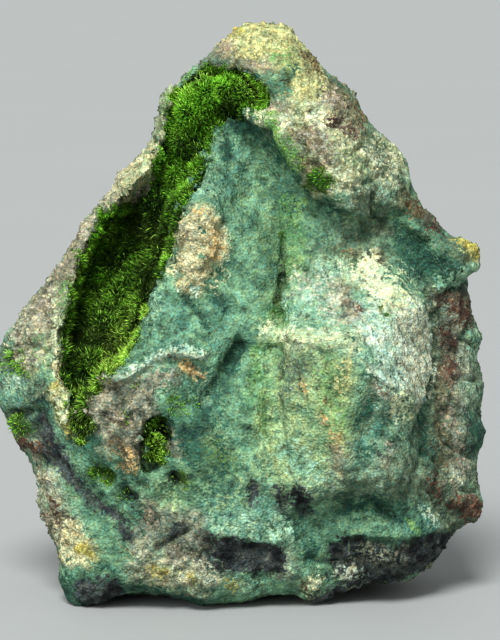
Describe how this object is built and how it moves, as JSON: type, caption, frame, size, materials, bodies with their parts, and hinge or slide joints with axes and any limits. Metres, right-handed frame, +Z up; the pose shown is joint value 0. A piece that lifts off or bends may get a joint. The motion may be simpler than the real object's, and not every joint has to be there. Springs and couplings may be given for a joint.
{
  "type": "mineral specimen",
  "caption": "Broken piece of copper-stained rock that stands on its underside, with green needle crystals lining its hollows.",
  "frame": {"origin": "on the surface the rock stands on, under the middle of its box", "axes": "+Z up, +X to the right seen from the front, +Y to the back; the face with the needle-lined hollows looks to -Y"},
  "size_m": [0.0491, 0.0329, 0.056],
  "materials": {
    "stained_rock": "dull, velvety and granular, blue-green with cream, grey, yellow and black patches",
    "green_needles": "silky grass-green needles"
  },
  "bodies": {
    "root": {"matrix": "stained_rock", "main_needle_crust": "green_needles", "lip_needle_crust": "green_needles", "pocket_needle_crust": "green_needles"}
  },
  "joints": []
}
